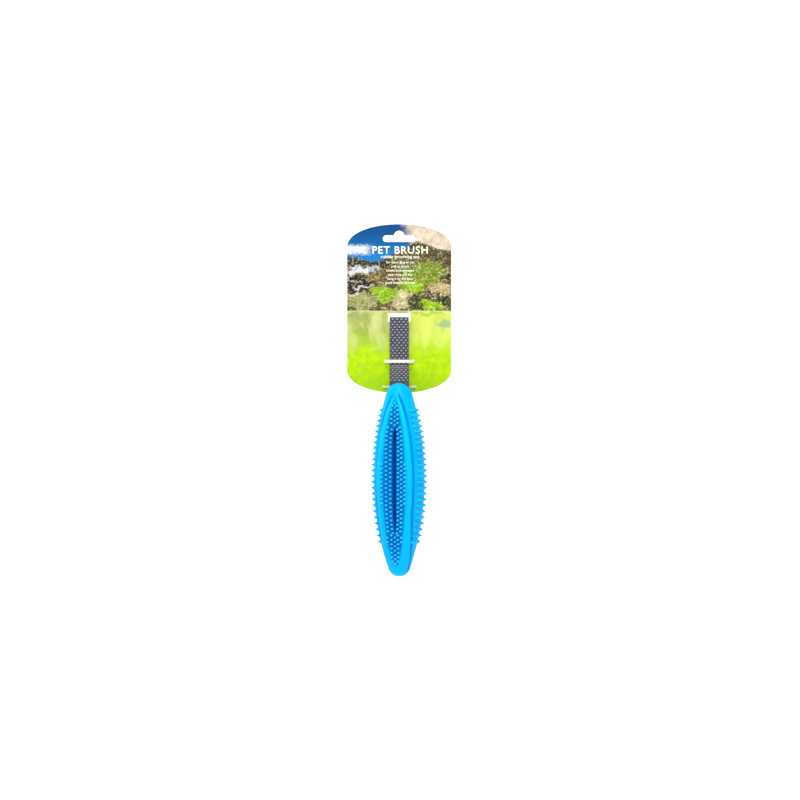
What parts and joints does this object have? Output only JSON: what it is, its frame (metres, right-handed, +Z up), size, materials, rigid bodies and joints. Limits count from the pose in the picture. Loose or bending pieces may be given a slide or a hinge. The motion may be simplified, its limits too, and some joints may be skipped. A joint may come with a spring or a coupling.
{
  "type": "rubber curry brush",
  "caption": "Spindle-shaped rubber brush with pegged troughs and spiked flanks, on a webbing hand loop tied to a hanging header card.",
  "frame": {"origin": "middle of the card's thickness at the top of the bump in its hanging slot, where a shop peg bears", "axes": "+Z up the card; -Y towards the viewer, out of the card's printed face; +X to the viewer's right"},
  "size_m": [0.104, 0.0531, 0.3513],
  "materials": {
    "blue_rubber": "satin",
    "printed_card": "satin",
    "grey_webbing": "matte",
    "grey_thread": "matte",
    "white_nylon": "satin",
    "natural_plastic": "satin"
  },
  "bodies": {
    "card": {"header_card": "printed_card", "webbing_run": "grey_webbing", "bar_tack": "grey_thread", "upper_tie": "white_nylon", "lower_tie": "white_nylon"},
    "neck": {"webbing_neck": "grey_webbing"},
    "brush": {"rubber_brush": "blue_rubber", "webbing_anchor": "grey_webbing", "anchor_pin": "natural_plastic"},
    "hand_loop": {"hand_loop_end": "grey_webbing"}
  },
  "joints": [
    {"name": "brush_twist", "type": "hinge", "parent": "card", "child": "neck", "pos_m": [0, -0.015, -0.1515], "axis": [0, 0, 1], "range_deg": [-14, 46]},
    {"name": "brush_swing", "type": "hinge", "parent": "neck", "child": "brush", "pos_m": [0, -0.015, -0.1515], "axis": [-0.9613, 0.2756, 0], "range_deg": [-2, 45]},
    {"name": "hand_loop_swing", "type": "hinge", "parent": "card", "child": "hand_loop", "pos_m": [0, 0.0021, -0.0931], "axis": [1, 0, 0], "range_deg": [0, 90]}
  ]
}
